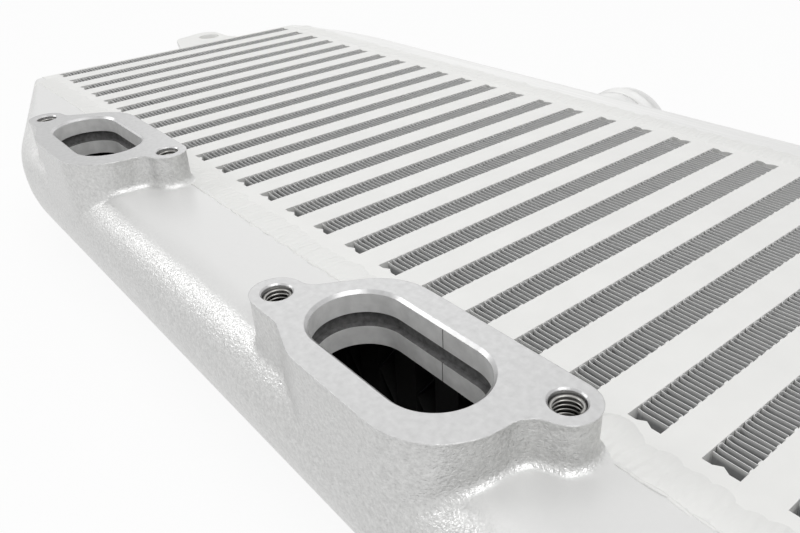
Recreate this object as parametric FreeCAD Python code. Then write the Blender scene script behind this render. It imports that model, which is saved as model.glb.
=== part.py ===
import FreeCAD, Part
import math
import os

# Bar-and-plate charge-air cooler with cast end tanks, shown with its ports up.
# Millimetres. X runs along the stack of rows, Y from the inlet tank to the
# outlet tank, Z up. The origin is the middle of the core's underside.

# Core stack
row_count = 27            # rows of cooling-air fins
fin_space = 9.4           # height of a fin row, between two plates
plate = 0.6               # parting plate between a fin row and a charge channel
channel = 9.4             # height of a charge channel
side_plate = 2.0          # end plate that closes the stack
core_depth = 64.0         # face to face, the way that the cooling air flows
fin_length = 168.0        # length of a fin row, between its two header bars
header_bar = 10.0         # header bar that closes a fin row towards a tank
nose_height = 1.3         # ridge along the header bar's inner face
nose_width = 4.2
closing_bar = 8.0         # bar that closes a charge channel at each face
fin_wall_count = 22       # walls of one folded fin, coarser than the real one
fin_recess = 1.0          # fin edge below the core face
fin_sheet = 0.25          # fin thickness
fin_end_gap = 0.5         # last fold to the ridge of a header bar
turbulator_wall_count = 4
turbulator_sheet = 0.3
braze_gap = 0.05          # gap left for the braze film at a fin's crests

# Cast tanks
cast_wall = 4.0
bead_width = 8.0          # weld bead between core and tank
bead_height = 0.8
inlet_depth = 48.4        # core edge to the widest point of the inlet tank
inlet_shoulder_r = 18.0   # upper shoulder
keel_rest = 1.0           # upright wall left between shoulder and keel
inlet_tip = 6.0           # depth left at the tapered end
inlet_taper = 110.0       # length of the tapered end
outlet_depth = 29.0
outlet_shoulder_r = 14.0
outlet_tip = 5.0
outlet_taper = 64.0
taper_bend_r = 112.0      # plan bend where the taper meets the long wall
tip_shoulder_r = 4.0      # roundings left at the tapered end's tip
tip_keel_r = 5.0
least_r = 2.5             # smallest rounding inside a casting
taper_round_share = 0.94  # a taper's rounding starts this much tighter than the long part's
end_corner_r = 20.0       # plan corner at the square end

# Inlet ports, one flange each
port_x = (-86.4, 129.6)   # along the stack, from the middle of the core
port_inset = 25.1         # core edge to the middle of the opening
port_length = 57.0        # machined opening, end to end
port_width = 26.4
port_chamfer = 1.6
port_land = 7.8           # flange face around the chamfer
flange_height = 14.0      # flange face above the tank top
port_overrun = 5.0        # cutter's run below the tank's wall
groove_top = 7.1          # cast recess in the port wall, below the flange face
groove_width = 4.6
groove_depth = 2.4
ear_r = 7.8               # metal round a bolt hole
ear_right = (43.2, 14.8)  # bolt holes, from the middle of the opening
ear_left = (-42.3, -9.4)
flange_side = 39.6        # flange's plain right side, from the middle of the opening
flange_corner_r = 21.5
ear_notch_r = 7.8         # hollow corner between the right ear and that side
ear_lean_deg = 16.0       # slope of the right ear's lower edge
flank_top = 25.0          # sloping left flank
flank_foot = 39.2
flank_r = 20.0
flank_root_r = 6.0        # hollow corner between the flank and the left ear
skirt_start = 29.3        # left ear's run out to the outer edge
skirt_end = 14.5
skirt_root_r = 8.0
skirt_r = 20.0

# Wire thread inserts
insert_r = 4.4
insert_bore_r = 3.4
insert_length = 12.0
insert_clearance = 0.05
insert_hole_depth = 15.0
countersink = 0.4

# Outlet neck
neck_x = 10.0             # from the middle of the core
neck_r = 27.0
neck_wall = 3.0
neck_reach = 23.0         # beyond the outlet tank's wall
neck_bead = 1.2           # raised hose bead
neck_bead_length = 5.0

# Mounting tab on the left side plate, from that plate and from the middle of the core
tab_thickness = 4.0
tab_reach = 37.3          # tip's corner
tab_shoulder = 28.0       # lower corner
tab_foot = 7.5            # where the upper edge turns to its root
tab_low = 1.5             # ends of its root
tab_high = 46.5
tab_rise = 9.0            # lower corner above the root's end
tab_drop = 3.9            # upper edge below the root's end
tab_corner_r = 7.0
tab_tip_r = 10.0
tab_foot_r = 4.0
tab_hole_r = 7.0
tab_hole_in = 17.7
tab_hole_y = 32.0
tab_leg = 26.0            # leg that lies down the side plate

# Derived places
pitch = fin_space + 2 * plate + channel
row_first = -(row_count - 1) * pitch / 2
core_y = fin_length / 2 + header_bar
half_stack = -row_first + fin_space / 2 + side_plate
flange_z = core_depth + flange_height
port_y = -core_y - port_inset
body_r = port_width / 2 + port_chamfer + port_land
groove_z = flange_z - groove_top

UP = FreeCAD.Vector(0, 0, 1)


def vec(x, y, z=0.0):
    return FreeCAD.Vector(x, y, z)


def block(x, y, z):
    """Box from its low and high corner along each axis."""
    solid = Part.makeBox(x[1] - x[0], y[1] - y[0], z[1] - z[0])
    solid.translate(vec(x[0], y[0], z[0]))
    return solid


def rounded_face(corners):
    """Face inside straight sides, with an arc of its own radius at each corner."""
    edges = []
    ends = []
    count = len(corners)
    for i, (point, radius) in enumerate(corners):
        before = (corners[i - 1][0] - point).normalize()
        after = (corners[(i + 1) % count][0] - point).normalize()
        if radius == 0:
            ends.append((point, point))
            continue
        half = before.getAngle(after) / 2
        reach = radius / math.tan(half)
        middle = point + (before + after).normalize() * (radius / math.sin(half) - radius)
        first = point + before * reach
        last = point + after * reach
        ends.append((first, last))
        edges.append(Part.Arc(first, middle, last).toShape())
    for i in range(count):
        start = ends[i][1]
        end = ends[(i + 1) % count][0]
        if start.distanceToPoint(end) > 1e-6:
            edges.append(Part.LineSegment(start, end).toShape())
    return Part.Face(Part.Wire(Part.__sortEdges__(edges)))


def plain_face(points):
    return Part.Face(Part.makePolygon(points + points[:1]))


def stadium(x, y, z, length, width):
    """Long round-ended face, its long side along X."""
    r = width / 2
    a = length / 2 - r
    corners = [vec(x - a, y - r, z), vec(x + a, y - r, z), vec(x + a, y + r, z), vec(x - a, y + r, z)]
    right = Part.Arc(corners[1], vec(x + a + r, y, z), corners[2]).toShape()
    left = Part.Arc(corners[3], vec(x - a - r, y, z), corners[0]).toShape()
    low = Part.LineSegment(corners[0], corners[1]).toShape()
    high = Part.LineSegment(corners[2], corners[3]).toShape()
    return Part.Face(Part.Wire([low, right, high, left]))


def folded_sheet(span, walls, half_height, sheet):
    """Outline of a folded sheet whose folds run along the second axis."""
    step = span / walls
    skew = sheet * math.hypot(2 * half_height, step) / step
    low = []
    for i in range(walls + 1):
        crest = half_height - skew if i % 2 else -half_height
        low.append((crest, i * step - span / 2))
    high = [(a + skew, b) for a, b in reversed(low)]
    return low + high


def row_x(row):
    return row_first + row * pitch


# Core: fin rows, charge tubes and side plates
def ambient_fin(row):
    half = fin_space / 2 - braze_gap
    outline = folded_sheet(fin_length - 2 * (nose_height + fin_end_gap), fin_wall_count, half, fin_sheet)
    face = plain_face([vec(row_x(row) + a, b, fin_recess) for a, b in outline])
    return face.extrude(UP * (core_depth - 2 * fin_recess))


def header_bars(row):
    """Two bars that close a fin row, each with a ridge on its inner face."""
    x = row_x(row)
    half = fin_space / 2
    inner = fin_length / 2
    bars = []
    for side in (-1, 1):
        points = [
            vec(x - half, side * core_y),
            vec(x - half, side * inner),
            vec(x - nose_width / 2, side * inner),
            vec(x, side * (inner - nose_height)),
            vec(x + nose_width / 2, side * inner),
            vec(x + half, side * inner),
            vec(x + half, side * core_y),
        ]
        bars.append(plain_face(points).extrude(UP * core_depth))
    return bars


def charge_tube(row):
    """Two parting plates and two closing bars, brazed up, with the next row's header bars."""
    left = row_x(row) + fin_space / 2
    right = left + 2 * plate + channel
    tube = block((left, right), (-core_y, core_y), (0, core_depth))
    hollow = block((left + plate, right - plate), (-core_y, core_y), (closing_bar, core_depth - closing_bar))
    return tube.cut(hollow).multiFuse(header_bars(row + 1)).removeSplitter()


def turbulators():
    """Folded sheets inside the charge channels, one to a tube."""
    sheets = []
    span = core_depth - 2 * closing_bar - 2 * braze_gap
    outline = folded_sheet(span, turbulator_wall_count, channel / 2 - braze_gap, turbulator_sheet)
    for row in range(row_count - 1):
        x = row_x(row) + pitch / 2
        face = plain_face([vec(x + a, -core_y, core_depth / 2 + b) for a, b in outline])
        sheets.append(face.extrude(vec(0, 2 * core_y, 0)))
    return Part.makeCompound(sheets)


def side_plate_left():
    plate_box = block((-half_stack, -half_stack + side_plate), (-core_y, core_y), (0, core_depth))
    return plate_box.multiFuse(header_bars(0)).removeSplitter()


def side_plate_right():
    return block((half_stack - side_plate, half_stack), (-core_y, core_y), (0, core_depth))


# Cast tanks, drawn with Y outwards from the core's edge and then set in place
def in_place(shape, side):
    if side < 0:
        shape = shape.mirror(vec(0, 0), vec(0, 1))
    shape.translate(vec(0, side * core_y, 0))
    return shape


def tapering_round(start, end, normals, radii):
    """What a rounding takes off a straight edge when its radius changes along it."""
    inward = -(normals[0] + normals[1])
    centres = [start + inward * radii[0], end + inward * radii[1]]
    along = centres[0] - centres[1]
    sine = (radii[0] - radii[1]) / along.Length
    tangent = sine / math.sqrt(1 - sine * sine)
    along.normalize()
    near = radii[1] / sine - least_r
    far = radii[0] / sine + radii[0]
    apex = centres[1] - along * (radii[1] / sine)
    cone = Part.makeCone(near * tangent, far * tangent, far - near, apex + along * near, along)
    wires = []
    for point, radius in ((start, radii[0]), (end, radii[1])):
        on_first = point - normals[1] * radius
        on_second = point - normals[0] * radius
        corner = point - inward
        points = [on_first, on_first + normals[0], corner, on_second + normals[1], on_second]
        wires.append(Part.makePolygon(points + points[:1]))
    return Part.makeLoft(wires, True, True).cut(cone)


def tank_body(side, depth, top_r, low_r, tip, taper, inset):
    """Tank outside, or its hollow at an inset: tapered part, bend, long part, square end."""
    slope = math.atan2(depth - tip, taper)
    back = -10.0
    full = depth - inset
    low, high = inset, core_depth - inset
    bend_x = -half_stack + taper + taper_bend_r * math.tan(slope / 2)
    bend_y = depth - taper_bend_r
    radii = (top_r - inset, low_r - inset)
    section = rounded_face([
        (vec(bend_x, back, low), 0),
        (vec(bend_x, full, low), radii[1]),
        (vec(bend_x, full, high), radii[0]),
        (vec(bend_x, back, high), 0),
    ])
    length = half_stack - inset - bend_x
    long_part = section.extrude(vec(length, 0, 0))
    corner_r = end_corner_r - inset
    square_end = rounded_face([
        (vec(bend_x, back), 0),
        (vec(bend_x, full), 0),
        (vec(bend_x + length, full), corner_r),
        (vec(bend_x + length, back), 0),
    ])
    long_part = long_part.common(square_end.extrude(UP * core_depth))
    bend = section.revolve(vec(bend_x, bend_y, 0), UP, math.degrees(slope))

    outward = vec(-math.sin(slope), math.cos(slope))
    downhill = vec(-math.cos(slope), -math.sin(slope))
    centre = vec(bend_x, bend_y, 0)
    first = centre + outward * (taper_bend_r - inset)
    inner = centre + outward * ((back - bend_y) / math.cos(slope))
    last_x = -half_stack + inset
    last = first + downhill * ((first.x - last_x) / math.cos(slope))
    corners = [first, last, vec(last_x, back), inner]
    tapered = plain_face([corner + UP * low for corner in corners]).extrude(UP * (high - low))
    beyond = 3.0
    run = (last - first).Length
    end = last + downhill * beyond
    rounds = []
    for z, normal, radius, tip_r in ((high, UP, radii[0], tip_shoulder_r), (low, -UP, radii[1], tip_keel_r)):
        tip_r = max(tip_r - inset, least_r)
        end_r = tip_r - (radius - tip_r) * beyond / run
        lift = UP * z
        rounds.append(tapering_round(first + lift, end + lift, (normal, outward), (radius * taper_round_share, end_r)))
    tapered = tapered.cut(rounds)

    body = tapered.multiFuse([bend, long_part])
    trim = block((-half_stack, half_stack), (0, depth), (0, core_depth))
    return in_place(body.common(trim).removeSplitter(), side)


def weld_bead(side):
    """Low crowned bead along the upper joint with the core; the lower one is dressed flush."""
    half = bead_width / 2
    first = vec(-half_stack, side * core_y - half, core_depth)
    crown = vec(-half_stack, side * core_y, core_depth + bead_height)
    last = vec(-half_stack, side * core_y + half, core_depth)
    arc = Part.Arc(first, crown, last).toShape()
    base = Part.LineSegment(last, first).toShape()
    return Part.Face(Part.Wire([arc, base])).extrude(vec(2 * half_stack, 0, 0))


def flange_outline(x):
    """Flange seen from above: straight towards the core, with an ear at each end."""
    core_side = port_width / 2 + port_chamfer + port_land
    right = ear_right[0] + ear_r
    lean = math.radians(ear_lean_deg)
    notch_low = ear_right[1] - ear_r / math.cos(lean) - (ear_right[0] - flange_side) * math.tan(lean)
    right_low = notch_low + (right - flange_side) * math.tan(lean)
    left = ear_left[0] - ear_r
    left_high = ear_left[1] + ear_r
    left_low = ear_left[1] - ear_r
    corners = [
        (right, core_side, ear_r),
        (-flank_top, core_side, flank_r),
        (-flank_foot, left_high, flank_root_r),
        (left, left_high, ear_r),
        (left, left_low, ear_r),
        (-skirt_start, left_low, skirt_root_r),
        (-skirt_end, -core_side, skirt_r),
        (flange_side, -core_side, flange_corner_r),
        (flange_side, notch_low, ear_notch_r),
        (right, right_low, ear_r),
    ]
    return rounded_face([(vec(x + a, port_y + b), r) for a, b, r in corners])


def port_boss(x, bottom):
    """Flange with its two bolt ears, drawn down into the tank."""
    boss = flange_outline(x).extrude(UP * (flange_z - bottom))
    boss.translate(UP * bottom)
    return boss


def port_cutter(x):
    """Machined opening, its chamfer and the cast recess in its wall."""
    depth = flange_height + cast_wall + port_overrun
    opening = stadium(x, port_y, flange_z - depth, port_length, port_width).extrude(UP * depth)
    grown = 2 * groove_depth
    groove = stadium(x, port_y, groove_z - groove_width, port_length + grown, port_width + grown)
    low = stadium(x, port_y, flange_z - port_chamfer, port_length, port_width)
    high = stadium(x, port_y, flange_z, port_length + 2 * port_chamfer, port_width + 2 * port_chamfer)
    chamfer = Part.makeLoft([low.OuterWire, high.OuterWire], True, True)
    return [opening, groove.extrude(UP * groove_width), chamfer]


def ear_places():
    places = []
    for x in port_x:
        for dx, dy in (ear_right, ear_left):
            places.append((x + dx, port_y + dy))
    return places


def bolt_hole(x, y):
    """Drilled hole for an insert, with a small countersink."""
    r = insert_r + insert_clearance
    base = vec(x, y, flange_z - insert_hole_depth)
    drill = Part.makeCylinder(r, insert_hole_depth, base)
    cone = Part.makeCone(r, r + countersink, countersink, vec(x, y, flange_z - countersink))
    return drill.fuse(cone)


def inlet_tank():
    keel_r = core_depth - inlet_shoulder_r - keel_rest
    size = (inlet_depth, inlet_shoulder_r, keel_r, inlet_tip, inlet_taper)
    outer = tank_body(-1, *size, 0.0)
    bosses = [port_boss(x, core_depth - inlet_shoulder_r) for x in port_x]
    tank = outer.multiFuse(bosses + [weld_bead(-1)]).removeSplitter()
    cutters = [tank_body(-1, *size, cast_wall)]
    for x in port_x:
        cutters += port_cutter(x)
    cutters += [bolt_hole(x, y) for x, y in ear_places()]
    return tank.cut(cutters)


def hose_bead(base):
    """Raised bead that keeps the hose on the neck, with sloping flanks."""
    third = neck_bead_length / 3
    top_r = neck_r + neck_bead
    along = vec(0, 1, 0)
    rise = Part.makeCone(neck_r, top_r, third, base, along)
    crown = Part.makeCylinder(top_r, third, base + along * third, along)
    fall = Part.makeCone(top_r, neck_r, third, base + along * (2 * third), along)
    return rise.multiFuse([crown, fall])


def outlet_tank():
    size = (outlet_depth, outlet_shoulder_r, outlet_shoulder_r, outlet_tip, outlet_taper)
    outer = tank_body(1, *size, 0.0)
    middle = vec(neck_x, core_y + outlet_depth / 2, core_depth / 2)
    mouth = core_y + outlet_depth + neck_reach
    along = vec(0, 1, 0)
    neck = Part.makeCylinder(neck_r, mouth - middle.y, middle, along)
    ring = hose_bead(vec(neck_x, mouth - 2 * neck_bead_length, core_depth / 2))
    hollow = tank_body(1, *size, cast_wall)
    bore = Part.makeCylinder(neck_r - neck_wall, mouth - middle.y, middle, along)
    tank = outer.multiFuse([neck, ring, weld_bead(1)]).removeSplitter()
    return tank.cut([hollow, bore])


def thread_inserts():
    """Four wire inserts, one to a bolt hole."""
    inserts = []
    for x, y in ear_places():
        base = vec(x, y, flange_z - insert_length)
        tube = Part.makeCylinder(insert_r, insert_length, base)
        inserts.append(tube.cut(Part.makeCylinder(insert_bore_r, insert_length, base)))
    return Part.makeCompound(inserts)


def mounting_tab():
    """Bent plate welded to the left side plate: a leg down it and a drilled ear."""
    root = -half_stack
    z = core_depth - tab_thickness
    edge = tab_high - tab_drop
    corners = [
        (vec(root, tab_low, z), 0),
        (vec(root - tab_shoulder, tab_low + tab_rise, z), tab_corner_r),
        (vec(root - tab_reach, edge, z), tab_tip_r),
        (vec(root - tab_foot, edge, z), tab_foot_r),
        (vec(root, tab_high, z), 0),
    ]
    ear_plate = rounded_face(corners).extrude(UP * tab_thickness)
    leg = block((root - tab_thickness, root), (tab_low, tab_high), (core_depth - tab_leg, core_depth))
    hole = Part.makeCylinder(tab_hole_r, tab_thickness, vec(root - tab_hole_in, tab_hole_y, z))
    return ear_plate.fuse(leg).cut(hole).removeSplitter()


def build():
    nodes = {}
    for row in range(row_count):
        nodes[f"ambient_fin_{row + 1:02d}"] = ambient_fin(row)
    for row in range(row_count - 1):
        nodes[f"charge_tube_{row + 1:02d}"] = charge_tube(row)
    nodes["turbulators"] = turbulators()
    nodes["side_plate_left"] = side_plate_left()
    nodes["side_plate_right"] = side_plate_right()
    nodes["inlet_tank"] = inlet_tank()
    nodes["outlet_tank"] = outlet_tank()
    nodes["thread_inserts"] = thread_inserts()
    nodes["mounting_tab"] = mounting_tab()
    return nodes


os.makedirs("parts", exist_ok=True)
for name, shape in build().items():
    shape.exportStep(f"parts/{name}.step")
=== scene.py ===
import math

import bmesh
import bpy
from mathutils import Matrix, Vector


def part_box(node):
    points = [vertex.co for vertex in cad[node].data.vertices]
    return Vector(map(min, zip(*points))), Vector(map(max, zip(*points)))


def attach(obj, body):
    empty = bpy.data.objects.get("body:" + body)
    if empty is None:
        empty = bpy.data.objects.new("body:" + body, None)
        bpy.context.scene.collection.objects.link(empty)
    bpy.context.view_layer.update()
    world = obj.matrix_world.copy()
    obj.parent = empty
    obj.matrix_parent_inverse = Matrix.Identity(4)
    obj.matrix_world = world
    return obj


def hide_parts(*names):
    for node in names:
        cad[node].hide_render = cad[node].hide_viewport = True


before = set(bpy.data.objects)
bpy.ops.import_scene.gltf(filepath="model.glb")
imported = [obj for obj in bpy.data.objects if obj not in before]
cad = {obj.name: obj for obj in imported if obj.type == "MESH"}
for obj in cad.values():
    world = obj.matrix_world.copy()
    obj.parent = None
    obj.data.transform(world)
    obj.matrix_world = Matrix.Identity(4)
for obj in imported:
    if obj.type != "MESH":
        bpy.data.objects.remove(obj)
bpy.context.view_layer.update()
MM = 0.001  # lengths are written in millimetres, and Blender's are metres


# Brazed core: channels and side plates
# Long aluminium bars and thin parting plates, stacked and brazed in a vacuum furnace.
# The braze leaves them one matte, pale block, with hairline joints where two bars meet.
def linear(hex_colour):
    """sRGB hex to the linear colour that a shader takes."""
    levels = [int(hex_colour[i : i + 2], 16) / 255 for i in (1, 3, 5)]
    return (*[c / 12.92 if c <= 0.04045 else ((c + 0.055) / 1.055) ** 2.4 for c in levels], 1)


def add(tree, kind, links=(), into=None, **settings):
    """Adds a node. links go into it, its first output goes into a socket if one is given,
    and settings are its properties or the values of its inputs."""
    node = tree.nodes.new(kind)
    for name, value in settings.items():
        if name in node.inputs:
            node.inputs[name].default_value = value
        else:
            setattr(node, name, value)
    for source, socket in links:
        tree.links.new(source, node.inputs[socket])
    if into:
        tree.links.new(node.outputs[0], into)
    return node


def metal(name, colour, roughness, **more):
    """A new material with its shader, and the link that lays a pattern on the piece itself."""
    material = bpy.data.materials.new(name)
    material.use_nodes = True
    tree = material.node_tree
    shader = tree.nodes["Principled BSDF"]
    shader.inputs["Base Color"].default_value = linear(colour)
    shader.inputs["Metallic"].default_value = 1.0
    shader.inputs["Roughness"].default_value = roughness
    for socket, value in more.items():
        shader.inputs[socket].default_value = value
    place = add(tree, "ShaderNodeTexCoord")
    return material, tree, shader, [(place.outputs["Object"], "Vector")]


# Vacuum-brazed aluminium bar: matte and almost white, with a faint cloudiness, because the
# furnace leaves no flux and no polish. The rolling mill's grain is drawn coarser, so that it shows.
brazed, tree, shader, on_piece = metal("vacuum_brazed_aluminium", "#EDEDEB", 0.6, Metallic=0.2)
cloud_size = 14.0
mill_grain = 0.35
cloud = add(tree, "ShaderNodeTexNoise", on_piece, Scale=1000 / cloud_size, Detail=3.0)
shade = add(
    tree, "ShaderNodeValToRGB", [(cloud.outputs["Fac"], "Fac")], shader.inputs["Base Color"]
)
shade.color_ramp.elements[0].color = linear("#E8E8E6")
shade.color_ramp.elements[1].color = linear("#F1F1EF")
grain = add(tree, "ShaderNodeTexNoise", on_piece, Scale=1000 / mill_grain)
mill_links = [(grain.outputs["Fac"], "Height")]
add(tree, "ShaderNodeBump", mill_links, shader.inputs["Normal"], Distance=0.012 * MM)


same_point = 0.002
flat_angle, edge_angle = 1, 35


def dressed_copy(node, name, edge_mm, segments):
    """A CAD node's mesh with its doubles merged and its edges broken, to show in its place."""
    mesh = cad[node].data.copy()
    mesh.materials.clear()
    piece = bpy.data.objects.new(name, mesh)
    bpy.context.scene.collection.objects.link(piece)
    work = bmesh.new()
    work.from_mesh(mesh)
    bmesh.ops.remove_doubles(work, verts=work.verts, dist=same_point * MM)
    flat = math.radians(flat_angle)
    bmesh.ops.dissolve_limit(work, angle_limit=flat, verts=work.verts, edges=work.edges)
    work.to_mesh(mesh)
    work.free()
    edges = piece.modifiers.new("broken_edges", "BEVEL")
    edges.width = edge_mm * MM
    edges.segments = segments
    edges.limit_method = "ANGLE"
    edges.angle_limit = math.radians(edge_angle)
    return applied(piece)


def applied(piece):
    """The piece with its modifiers turned into plain mesh."""
    graph = bpy.context.evaluated_depsgraph_get()
    mesh = bpy.data.meshes.new_from_object(piece.evaluated_get(graph))
    old = piece.data
    piece.modifiers.clear()
    piece.data = mesh
    mesh.name = piece.name
    if old.users == 0:
        bpy.data.meshes.remove(old)
    return piece


def finish_piece(piece, slot, material, *nodes):
    """Gives a finished piece its material, hangs it under the root and hides the CAD nodes that it
    replaces; slot is not used.
    """
    if material:
        piece.data.materials.clear()
        piece.data.materials.append(material)
    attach(piece, "root")
    if nodes:
        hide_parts(*nodes)


# Aluminium inside the tanks, where hardly any light reaches: the bars' ends and the channels' walls
# are coloured dark grey as painted shade, and blotched.
inner, tree, shader, on_piece = metal("dull_inner_aluminium", "#3C3C3C", 0.95, Metallic=0.0)
scale_size = 2.5
scale_marks = add(tree, "ShaderNodeTexNoise", on_piece, Scale=1000 / scale_size, Detail=3.0)
scale_links = [(scale_marks.outputs["Fac"], "Height")]
add(tree, "ShaderNodeBump", scale_links, shader.inputs["Normal"], Distance=0.1 * MM)

hairline = 0.03  # width of the broken edge at each joint of two bars
half_channel = 5.3  # with its parting plates, 0.6 mm thick
half_inside = 5.0
face_slack = 0.1
core_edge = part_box("charge_tube_01")[1].y / MM
core_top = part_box("charge_tube_01")[1].z
for node in sorted(cad):
    if node.startswith(("charge_tube_", "side_plate_")):
        name = node.replace("charge_tube", "brazed_channel") + "_dressed"
        piece = dressed_copy(node, name, hairline, 1)
        finish_piece(piece, "core_aluminium", brazed, node)
        piece.data.materials.append(inner)
        channel_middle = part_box(node)[0].x + half_channel * MM
        # the bars' ends and the channels' inner walls take the dark inner material: painted shade
        for face in piece.data.polygons:
            across = face.center.x - channel_middle
            end_face = abs(face.center.y) > (core_edge - face_slack) * MM
            in_channel = node.startswith("charge_tube_") and abs(across) < half_inside * MM
            below_top = abs(face.center.z - core_top / 2) < core_top / 2 - face_slack * MM
            if end_face or (in_channel and below_top):
                face.material_index = 1


# Cooling-air fins
# Each row is one aluminium strip, folded to and fro between two plates and brazed at its crests.
# The folds stand about 2 mm apart, cut edges up, and no two of them lean quite alike.
fold_gap = 1.98
crest_depths = {1: 0.3, -1: 0.4}  # how flat the crests are, at the right plate and at the left
fin_sheet = 0.15
fin_sunk = 0.15  # below the core's face
fold_steps = 6
wall_steps = 6
hook, hook_power = 0.45, 10  # each wall bends over just before its crest

# Rolled aluminium strip with fine louvres. Its colour runs from grey down between the walls to
# almost
# white at its cut edges: painted shade where the walls shade each other, painted light at the top.
folded, tree, shader, on_piece = metal("folded_fin_strip", "#C6C7C8", 0.6, Metallic=0.2)
louvre_pitch = 1.2
wave_of_scale_1 = 1000 * math.pi / 10  # a wave texture repeats after this length at scale 1
painted_shade_depth, painted_light_depth = 1.8, 0.2
louvres = add(
    tree, "ShaderNodeTexWave", on_piece, Scale=wave_of_scale_1 / louvre_pitch, Distortion=1.0
)
louvres.bands_direction = "X"
height = add(tree, "ShaderNodeSeparateXYZ", on_piece)
# painted light and shade by height: darker down between the walls, almost white at the cut edges
painted_light_by_height = add(tree, "ShaderNodeMapRange", [(height.outputs["Z"], "Value")])
painted_light_by_height.inputs["From Min"].default_value = core_top - painted_shade_depth * MM
painted_light_by_height.inputs["From Max"].default_value = core_top - painted_light_depth * MM
shade = add(
    tree, "ShaderNodeValToRGB", [(painted_light_by_height.outputs[0], "Fac")], shader.inputs["Base Color"]
)
shade.color_ramp.elements[0].color = linear("#9C9D9E")
shade.color_ramp.elements[1].color = linear("#EDEDEC")
louvre_links = [(louvres.outputs["Fac"], "Height")]
add(tree, "ShaderNodeBump", louvre_links, shader.inputs["Normal"], Distance=0.015 * MM)


def fold_path(half_width):
    """One fold seen from above, in millimetres: across, round a crest, back and round the next."""
    half_gap = fold_gap / 2
    path = []
    for base, side in ((0, 1), (fold_gap, -1)):
        start = -side * (half_width - crest_depths[-side])
        reach = half_width - crest_depths[side]
        for i in range(wall_steps):
            across = start + (side * reach - start) * i / wall_steps
            towards_hook = 0.5 - across / (2 * half_width)
            path.append((across, base + hook * towards_hook**hook_power))
        for i in range(fold_steps):
            angle = -math.pi / 2 + math.pi * i / fold_steps
            across = side * (reach + crest_depths[side] * math.cos(angle))
            towards_hook = 0.5 - side * reach / (2 * half_width)
            along = base + hook * towards_hook**hook_power + half_gap + half_gap * math.sin(angle)
            path.append((across, along))
    return path


def fold_mesh(half_width, low, high):
    """The sheet of one fold, from its lower cut edge to its upper one."""
    path = fold_path(half_width)
    path.append((path[0][0], path[0][1] + 2 * fold_gap))
    rings = []
    half = fin_sheet / 2
    for i, (x, y) in enumerate(path):
        x0, y0 = path[max(i - 1, 0)]
        x1, y1 = path[min(i + 1, len(path) - 1)]
        length = math.hypot(x1 - x0, y1 - y0)
        nx, ny = -(y1 - y0) / length * half, (x1 - x0) / length * half
        left, right = (x + nx, y + ny), (x - nx, y - ny)
        rings.append([(*left, low), (*right, low), (*right, high), (*left, high)])
    points = [[c * MM for c in point] for ring in rings for point in ring]
    faces = [(0, 1, 2, 3)]
    for i in range(len(rings) - 1):
        a, b = 4 * i, 4 * i + 4
        faces += [(b + k, b + (k + 1) % 4, a + (k + 1) % 4, a + k) for k in range(4)]
    last = 4 * len(rings) - 4
    faces.append((last + 3, last + 2, last + 1, last))
    mesh = bpy.data.meshes.new("one_fold")
    mesh.from_pydata(points, [], faces)
    mesh.update()
    return mesh


low_corner, high_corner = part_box("ambient_fin_01")
half_row = (high_corner.x - low_corner.x) / 2 / MM
one_fold = fold_mesh(half_row, low_corner.z / MM, core_top / MM - fin_sunk)
fold_unit = bpy.data.objects.new("one_fold", one_fold)
bpy.context.scene.collection.objects.link(fold_unit)
fold_unit.data.materials.append(folded)

# The tree lays copies of a unit in a row, each a little out of place, turned and larger or smaller.
row_tree = bpy.data.node_groups.new("uneven_row", "GeometryNodeTree")
row_tree.interface.new_socket("Geometry", in_out="OUTPUT", socket_type="NodeSocketGeometry")
row_inputs = {
    "Unit": "NodeSocketObject",
    "Count": "NodeSocketInt",
    "Start": "NodeSocketVector",
    "Step": "NodeSocketVector",
    "Shift": "NodeSocketVector",
    "Turn": "NodeSocketVector",
    "Size spread": "NodeSocketFloat",
    "Seed": "NodeSocketInt",
    "Material": "NodeSocketMaterial",
}
for label, kind in row_inputs.items():
    row_tree.interface.new_socket(label, in_out="INPUT", socket_type=kind)
ins = add(row_tree, "NodeGroupInput").outputs
line_links = [(ins["Count"], "Count"), (ins["Start"], "Start Location"), (ins["Step"], "Offset")]
line = add(row_tree, "GeometryNodeMeshLine", line_links)
chances = []
for label, offset in (("Shift", 0), ("Turn", 100)):
    seed = add(row_tree, "ShaderNodeMath", [(ins["Seed"], 0)], operation="ADD")
    seed.inputs[1].default_value = offset
    seed_links = [(seed.outputs[0], "Seed")]
    chance = add(row_tree, "FunctionNodeRandomValue", seed_links, data_type="FLOAT_VECTOR")
    chance.inputs[0].default_value = (-1, -1, -1)
    chance.inputs[1].default_value = (1, 1, 1)
    factors = [(chance.outputs[0], 0), (ins[label], 1)]
    chances.append(add(row_tree, "ShaderNodeVectorMath", factors, operation="MULTIPLY"))
limits = []
for how in ("SUBTRACT", "ADD"):
    limit = add(row_tree, "ShaderNodeMath", [(ins["Size spread"], 1)], operation=how)
    limit.inputs[0].default_value = 1.0
    limits.append(limit.outputs[0])
size_links = [(ins["Seed"], "Seed"), (limits[0], 2), (limits[1], 3)]
size = add(row_tree, "FunctionNodeRandomValue", size_links)
place_links = [(line.outputs["Mesh"], "Geometry"), (chances[0].outputs[0], "Offset")]
placed = add(row_tree, "GeometryNodeSetPosition", place_links)
unit = add(row_tree, "GeometryNodeObjectInfo", [(ins["Unit"], "Object")])
copy_links = [
    (placed.outputs[0], "Points"),
    (unit.outputs["Geometry"], "Instance"),
    (chances[1].outputs[0], "Rotation"),
    (size.outputs[1], "Scale"),
]
copies = add(row_tree, "GeometryNodeInstanceOnPoints", copy_links)


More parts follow.
